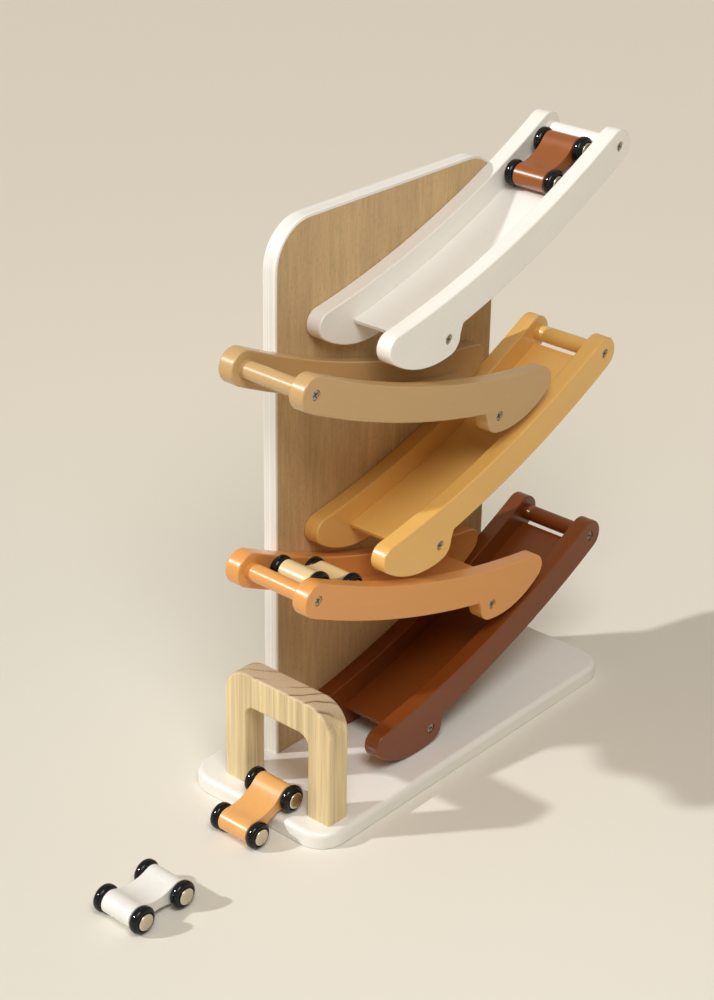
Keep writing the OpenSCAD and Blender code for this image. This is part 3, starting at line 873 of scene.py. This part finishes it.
class TRACK_OT_stage(bpy.types.Operator):
    """Sets the paper floor, the light and the camera"""

    bl_idname = "track.stage"
    bl_label = "Stage"

    def execute(self, context):
        stage = context.scene.track_stage
        bpy.ops.object.select_all(action="DESELECT")
        bpy.ops.mesh.primitive_plane_add(size=PAPER_SIZE)
        floor = context.object
        floor.name = "paper_floor"
        back = Matrix.Rotation(stage.camera_turn, 3, "Z") @ Vector((0, 1, 0))
        floor.data.materials.append(self.paper(context.scene.track_colours, back))
        self.light(context.scene, stage)
        self.surround(context.scene, stage)
        self.camera(context.scene, stage)
        context.scene.view_settings.view_transform = "Standard"
        return {"FINISHED"}

    @staticmethod
    def paper(colours, back):
        """Matt seamless paper: pale and even, with a second, lighter tone towards the back that is painted
        light.
        """
        material, tree, place, shader = new_material("matt_paper")
        depth = add(tree, "ShaderNodeVectorMath", {0: place, 1: back}, operation="DOT_PRODUCT")
        near_end, far_end = PAPER_PAINTED_LIGHT_DEPTHS
        # Painted light: the paper turns to its lighter far tone with depth towards the back
        far = add(
            tree, "ShaderNodeMapRange",
            {"Value": depth.outputs["Value"], "From Min": near_end, "From Max": far_end},
            interpolation_type="SMOOTHSTEP"
        )
        tone = add(
            tree, "ShaderNodeMix",
            {"Factor": far.outputs["Result"], "A": opaque(colours.floor), "B": opaque(colours.floor_far)},
            data_type="RGBA"
        )
        tree.links.new(tone.outputs["Result"], shader.inputs["Base Color"])
        shader.inputs["Roughness"].default_value = 0.8
        return material

    def light(self, scene, stage):
        """A hard key light from behind on the left, and in front a far soft light and a near soft box."""
        for name, power, width, turn, rise in (
            ("key_light", stage.key_power, stage.key_width, stage.key_turn, stage.key_rise),
            ("soft_light", stage.soft_far_power, stage.soft_width, stage.soft_turn, stage.soft_rise),
        ):
            lamp = bpy.data.lights.new(name, "SUN")
            lamp.energy = power
            lamp.angle = width
            self.hang(scene, lamp, turn, rise, stage.soft_away)
        lamp = bpy.data.lights.new("soft_box", "AREA")
        lamp.shape = "DISK"
        lamp.size = stage.soft_size
        lamp.energy = stage.soft_power
        self.hang(scene, lamp, stage.soft_turn, stage.soft_rise, stage.soft_away).visible_camera = False

    @staticmethod
    def surround(scene, stage):
        """An even fill light, and a pale wall where the eye or a reflection meets it."""
        colours = scene.track_colours
        world = bpy.data.worlds.new("soft_fill")
        scene.world = world
        world.use_nodes = True
        tree = world.node_tree
        tree.nodes.clear()
        fill = add(
            tree, "ShaderNodeBackground", {"Color": opaque(colours.fill), "Strength": stage.fill_power}
        )
        wall = add(tree, "ShaderNodeBackground", {"Color": opaque(colours.wall)})
        ray = add(tree, "ShaderNodeLightPath").outputs
        seen = add(
            tree, "ShaderNodeMath", {0: ray["Is Camera Ray"], 1: ray["Is Glossy Ray"]}, operation="MAXIMUM"
        )
        shown = add(
            tree, "ShaderNodeMath",
            {0: seen.outputs["Value"], 1: ray["Is Transmission Ray"]}, operation="MAXIMUM"
        )
        either = add(
            tree, "ShaderNodeMixShader",
            {0: shown.outputs["Value"], 1: fill.outputs["Background"], 2: wall.outputs["Background"]}
        )
        add(tree, "ShaderNodeOutputWorld", {"Surface": either.outputs["Shader"]})

    @staticmethod
    def hang(scene, lamp, turn, rise, away):
        """Hangs a lamp in a direction from the toy's middle, and turns it there."""
        towards = Vector((cos(turn) * cos(rise), sin(turn) * cos(rise), sin(rise)))
        hung = bpy.data.objects.new(lamp.name, lamp)
        scene.collection.objects.link(hung)
        hung.location = (CAD_BOX[0] + CAD_BOX[1]) / 2 + towards * away
        hung.rotation_euler = towards.to_track_quat("Z", "Y").to_euler()
        return hung

    @staticmethod
    def camera(scene, stage):
        """The camera at the photograph's place."""
        lens = bpy.data.cameras.new("camera")
        lens.lens = stage.camera_lens
        lens.sensor_width = SENSOR_WIDTH
        camera = bpy.data.objects.new("camera", lens)
        scene.collection.objects.link(camera)
        camera.matrix_world = (
            Matrix.Translation(stage.camera_place)
            @ Matrix.Rotation(stage.camera_turn, 4, "Z")
            @ Matrix.Rotation(pi / 2 - stage.camera_dip, 4, "X")
            @ Matrix.Rotation(stage.camera_roll, 4, "Z")
        )
        scene.camera = camera


OPERATORS = (
    TRACK_OT_base_board,
    TRACK_OT_back_panel,
    TRACK_OT_finish_arch,
    TRACK_OT_ramps,
    TRACK_OT_screws,
    TRACK_OT_car_bodies,
    TRACK_OT_wheels,
    TRACK_OT_stage,
)


class TRACK_PT_pieces(bpy.types.Panel):
    """Lists the track's pieces"""

    bl_idname = "TRACK_PT_pieces"
    bl_label = "Click clack track"
    bl_space_type = "VIEW_3D"
    bl_region_type = "UI"
    bl_category = "Track"

    def draw(self, context):
        for operator in OPERATORS:
            self.layout.operator(operator.bl_idname)
        for group in (context.scene.track_edges, context.scene.track_colours, context.scene.track_stage):
            box = self.layout.box()
            for key in group.__annotations__:
                box.prop(group, key)


GROUPS = {"track_edges": TrackEdges, "track_colours": TrackColours, "track_stage": TrackStage}


def register():
    """Registers the properties, the operators and the panel."""
    for key, group in GROUPS.items():
        bpy.utils.register_class(group)
        setattr(bpy.types.Scene, key, PointerProperty(type=group))
    for cls in (*OPERATORS, TRACK_PT_pieces):
        bpy.utils.register_class(cls)


def unregister():
    """Takes out what register puts in."""
    for cls in (TRACK_PT_pieces, *reversed(OPERATORS)):
        bpy.utils.unregister_class(cls)
    for key, group in GROUPS.items():
        delattr(bpy.types.Scene, key)
        bpy.utils.unregister_class(group)


def main():
    """Builds every piece and the stage."""
    register()
    for operator in OPERATORS:
        space, name = operator.bl_idname.split(".")
        getattr(getattr(bpy.ops, space), name)()


if __name__ == "__main__":
    main()
